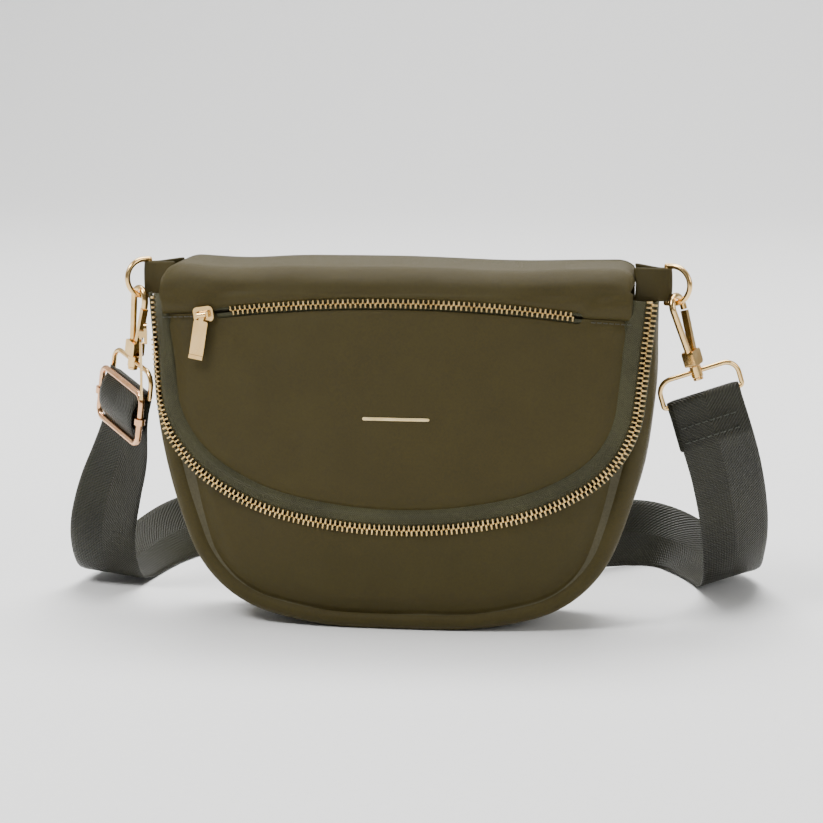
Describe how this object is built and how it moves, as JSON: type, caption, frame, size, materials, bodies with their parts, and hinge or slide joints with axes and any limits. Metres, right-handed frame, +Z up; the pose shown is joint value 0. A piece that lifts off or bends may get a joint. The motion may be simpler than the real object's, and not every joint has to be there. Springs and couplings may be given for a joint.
{
  "type": "crossbody purse",
  "caption": "Half-moon crossbody purse with a zip-round fold-over flap, a bowed flap pocket zip and a clip-on webbing strap.",
  "frame": {"origin": "middle of the flat under the bag, on the surface it stands on", "axes": "+X to the right seen from the front, +Y to the back, +Z up"},
  "size_m": [0.3618, 0.1713, 0.1889],
  "materials": {
    "shell_fabric": "fine woven nylon, soft satin",
    "lining_fabric": "plain woven lining",
    "zip_tape": "herringbone tape",
    "zip_teeth": "bright light gold",
    "gold_metal": "polished light gold plate",
    "gold_foil": "matt gold foil",
    "webbing": "herringbone nylon webbing"
  },
  "bodies": {
    "bag": {"front_panel": "shell_fabric", "back_panel": "shell_fabric", "side_gusset": "shell_fabric", "bag_lining": "lining_fabric", "left_ring_tab": "shell_fabric", "right_ring_tab": "shell_fabric", "main_zip_body_tape": "zip_tape", "main_zip_body_teeth": "zip_teeth", "left_strap_loop": "gold_metal", "right_strap_loop": "gold_metal", "left_strap_end": "webbing", "right_strap_end": "webbing", "strap_run": "webbing", "strap_left_drop": "webbing", "strap_right_drop": "webbing"},
    "flap": {"flap_cover": "shell_fabric", "flap_lining": "lining_fabric", "main_zip_flap_tape": "zip_tape", "main_zip_flap_teeth": "zip_teeth", "pocket_zip_upper_tape": "zip_tape", "pocket_zip_lower_tape": "zip_tape", "pocket_zip_upper_teeth": "zip_teeth", "pocket_zip_lower_teeth": "zip_teeth", "pocket_bag": "lining_fabric", "foil_bar": "gold_foil"},
    "pocket_slider": {"pocket_zip_slider": "gold_metal"},
    "pocket_pull": {"pocket_zip_pull": "gold_metal"},
    "main_slider": {"main_zip_slider": "gold_metal"},
    "main_pull": {"main_zip_pull": "gold_metal"},
    "left_ring": {"left_d_ring": "gold_metal"},
    "right_ring": {"right_d_ring": "gold_metal"},
    "left_hook_body": {"left_hook": "gold_metal", "left_gate_pin": "gold_metal", "left_swivel_post": "gold_metal"},
    "right_hook_body": {"right_hook": "gold_metal", "right_gate_pin": "gold_metal", "right_swivel_post": "gold_metal"},
    "left_gate_body": {"left_gate": "gold_metal"},
    "right_gate_body": {"right_gate": "gold_metal"},
    "adjuster": {"adjuster_frame": "gold_metal"},
    "adjuster_bar_body": {"adjuster_bar": "gold_metal", "strap_bight": "webbing"}
  },
  "joints": [
    {"name": "flap_hinge", "type": "hinge", "parent": "bag", "child": "flap", "pos_m": [0, 0.0299, 0.1786], "axis": [-1, 0, 0], "range_deg": [0, 120]},
    {"name": "pocket_zip_run", "type": "hinge", "parent": "flap", "child": "pocket_slider", "pos_m": [0, 0.2824, -0.2582], "axis": [0, 0.803, 0.596], "range_deg": [0, 20.3]},
    {"name": "pocket_pull_swing", "type": "hinge", "parent": "pocket_slider", "child": "pocket_pull", "pos_m": [-0.09921, -0.03428, 0.16317], "axis": [-0.9827, 0.1102, -0.1485], "range_deg": [0, 110]},
    {"name": "main_zip_run", "type": "slide", "parent": "bag", "child": "main_slider", "axis": [0.1045, 0, -0.9945], "range_m": [0, 0.034]},
    {"name": "main_pull_swing", "type": "hinge", "parent": "main_slider", "child": "main_pull", "pos_m": [-0.13304, -0.02714, 0.152], "axis": [-0.2079, 0.9781, 0], "range_deg": [0, 110]},
    {"name": "left_ring_swing", "type": "hinge", "parent": "bag", "child": "left_ring", "pos_m": [-0.134, 0, 0.178], "axis": [0, 0, 1], "range_deg": [-8, 8]},
    {"name": "right_ring_swing", "type": "hinge", "parent": "bag", "child": "right_ring", "pos_m": [0.134, 0, 0.178], "axis": [0, 0, 1], "range_deg": [-8, 8]},
    {"name": "left_hook_swivel", "type": "hinge", "parent": "bag", "child": "left_hook_body", "pos_m": [-0.13884, -0.00351, 0.16659], "axis": [0.1598, -0.1816, 0.9703], "range_deg": [-20, 4]},
    {"name": "right_hook_swivel", "type": "hinge", "parent": "bag", "child": "right_hook_body", "pos_m": [0.14002, -0.00249, 0.16662], "axis": [-0.2865, -0.0585, 0.9563], "range_deg": [-12, 12]},
    {"name": "left_gate_open", "type": "hinge", "parent": "left_hook_body", "child": "left_gate_body", "pos_m": [-0.14174, -0.00021, 0.13986], "axis": [-0.7507, -0.6606, 0], "range_deg": [0, 18], "stiffness_Nm_per_rad": 0.02, "springref_deg": -17.19},
    {"name": "right_gate_open", "type": "hinge", "parent": "right_hook_body", "child": "right_gate_body", "pos_m": [0.14861, 0.00108, 0.14118], "axis": [0.8756, -0.4212, 0.2365], "range_deg": [0, 18], "stiffness_Nm_per_rad": 0.02, "springref_deg": -17.19},
    {"name": "adjuster_slide", "type": "slide", "parent": "bag", "child": "adjuster", "axis": [-0.1598, 0.1816, -0.9703], "range_m": [0, 0.03]},
    {"name": "adjuster_bar_slide", "type": "slide", "parent": "adjuster", "child": "adjuster_bar_body", "axis": [-0.1598, 0.1816, -0.9703], "range_m": [-0.0035, 0.0035]}
  ]
}
